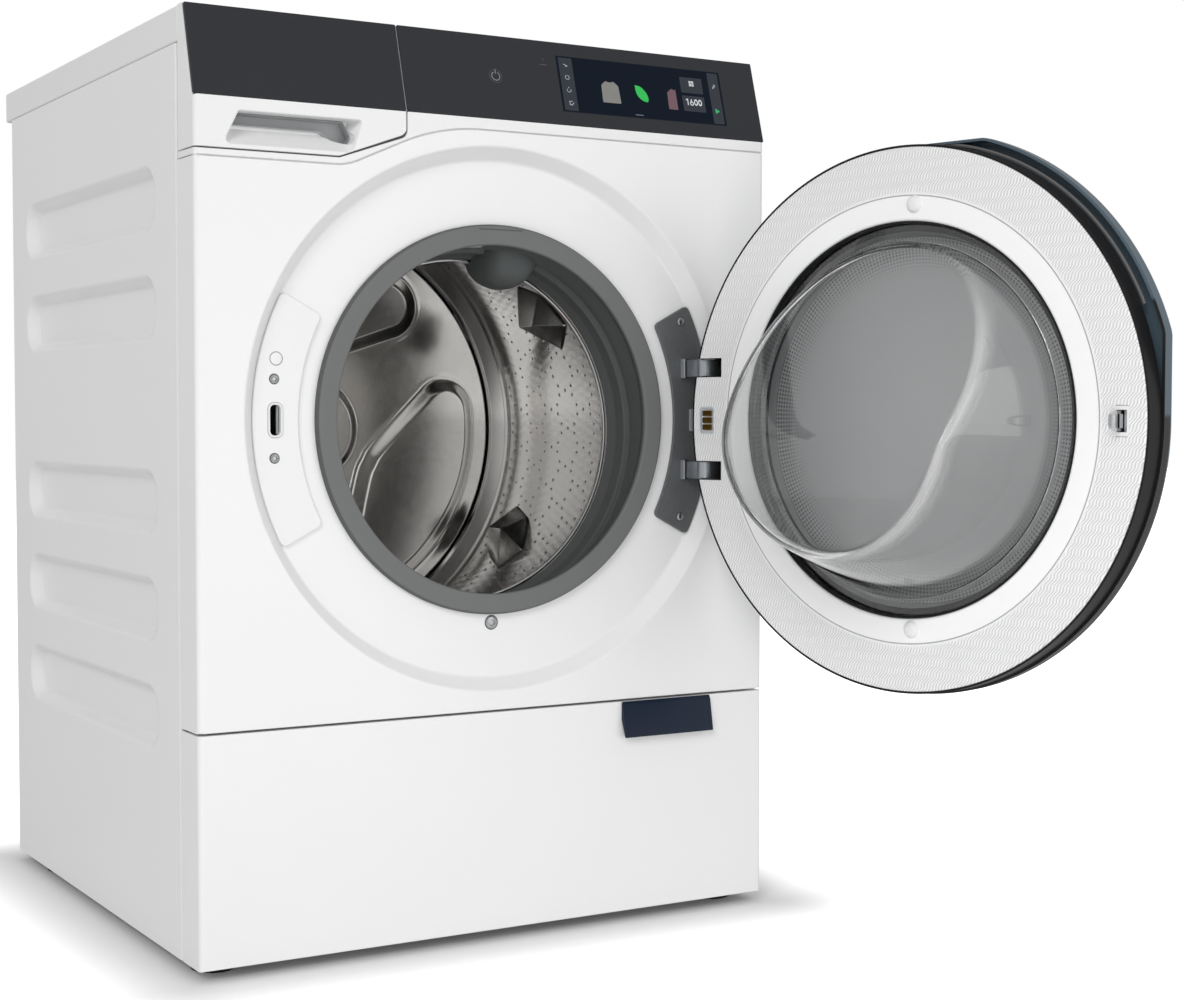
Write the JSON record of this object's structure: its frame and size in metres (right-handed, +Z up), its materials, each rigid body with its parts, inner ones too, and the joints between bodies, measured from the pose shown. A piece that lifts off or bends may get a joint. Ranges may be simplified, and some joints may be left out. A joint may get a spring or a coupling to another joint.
{
  "type": "front-loading washing machine",
  "caption": "White front-loading washing machine with its round glass door open, dark control glass, dispenser drawer and lower flap.",
  "frame": {"origin": "centre of the flat pad under the base pan, which lies over the middle of the cabinet's depth", "axes": "+X to the machine's right as seen from the front, +Y to the back, +Z up; the feet reach 10.4 mm below the origin"},
  "size_m": [0.6702, 1.093, 0.85],
  "materials": {
    "white_enamel": "smooth white enamel",
    "white_plastic": "satin white",
    "dark_glass": "glossy anthracite",
    "display": "dark display",
    "grey_rubber": "matt grey",
    "black_rubber": "matt black",
    "stainless": "bright rolled stainless steel",
    "chrome": "polished",
    "cast_zinc": "dark grey cast metal",
    "steel": "plain steel",
    "galvanised": "galvanised sheet",
    "aluminium": "cast",
    "grey_plastic": "grey",
    "dark_plastic": "black",
    "blue_shell": "satin blue grey",
    "clear_glass": "clear",
    "tinted_glass": "tinted",
    "cast_iron": "rough",
    "gold": "gold plated",
    "navy": "dark navy"
  },
  "bodies": {
    "cabinet": {"side_panel_left": "white_enamel", "side_panel_right": "white_enamel", "worktop": "white_plastic", "base_pan": "galvanised", "foot_front_left": "black_rubber", "foot_front_right": "black_rubber", "foot_rear_left": "black_rubber", "foot_rear_right": "black_rubber", "front_panel": "white_enamel", "lock_cover": "white_plastic", "door_lock": "dark_plastic", "hinge_bracket": "steel", "hinge_cover": "cast_zinc", "fascia_carrier": "white_plastic", "control_glass": "dark_glass", "display_module": "display", "dispenser_housing": "grey_plastic", "door_seal": "grey_rubber", "spray_nozzle": "dark_plastic", "tub_front": "grey_plastic", "tub_rear": "grey_plastic", "counterweight_upper": "cast_iron", "counterweight_lower": "cast_iron", "top_rail": "galvanised", "spring_left": "steel", "spring_right": "steel", "damper_left": "dark_plastic", "damper_right": "dark_plastic", "motor": "aluminium", "drive_belt": "black_rubber", "drum_bearing": "steel", "dosing_container_1": "white_plastic", "dosing_container_2": "white_plastic", "drain_pump": "dark_plastic", "rear_panel": "galvanised", "rear_cover": "galvanised", "inlet_valve": "white_plastic", "drain_spigot": "grey_plastic", "cable_gland": "dark_plastic"},
    "door": {"door_ring": "white_plastic", "door_rim": "dark_plastic", "door_shell": "blue_shell", "door_bowl": "clear_glass", "door_window": "tinted_glass", "door_latch": "chrome", "door_contacts": "gold", "hinge_pin": "steel"},
    "drawer": {"drawer_front": "white_plastic", "drawer_glass": "dark_glass", "drawer_tray": "grey_plastic"},
    "flap": {"service_flap": "white_enamel", "flap_tab": "navy"},
    "drum": {"drum_shell": "stainless", "drum_rear": "stainless", "drum_spider": "aluminium", "drum_shaft": "steel", "drum_pulley": "aluminium"},
    "motor_shaft": {"motor_pulley": "steel"},
    "cap": {"filter_cap": "grey_plastic"}
  },
  "joints": [
    {"name": "door_hinge", "type": "hinge", "parent": "cabinet", "child": "door", "pos_m": [0.2314, -0.3226, 0.4793], "axis": [0, 0, 1], "range_deg": [-105.37, 49.6]},
    {"name": "drawer_slide", "type": "slide", "parent": "cabinet", "child": "drawer", "axis": [0, -1, 0], "range_m": [0, 0.22]},
    {"name": "flap_hinge", "type": "hinge", "parent": "cabinet", "child": "flap", "pos_m": [0, -0.2946, 0.0056], "axis": [1, 0, 0], "range_deg": [0, 85]},
    {"name": "drum_spin", "type": "hinge", "parent": "cabinet", "child": "drum", "pos_m": [0, 0.1, 0.4686], "axis": [0, 1, 0], "continuous": true},
    {"name": "motor_spin", "type": "hinge", "parent": "cabinet", "child": "motor_shaft", "pos_m": [0.06, 0.15, 0.1216], "axis": [0, 1, 0], "continuous": true},
    {"name": "cap_turn", "type": "hinge", "parent": "cabinet", "child": "cap", "pos_m": [0.195, -0.2386, 0.0816], "axis": [0, -1, 0], "range_deg": [0, 90]}
  ],
  "couplings": [
    {"joint": "motor_spin", "follows": "drum_spin", "ratio": 12}
  ]
}
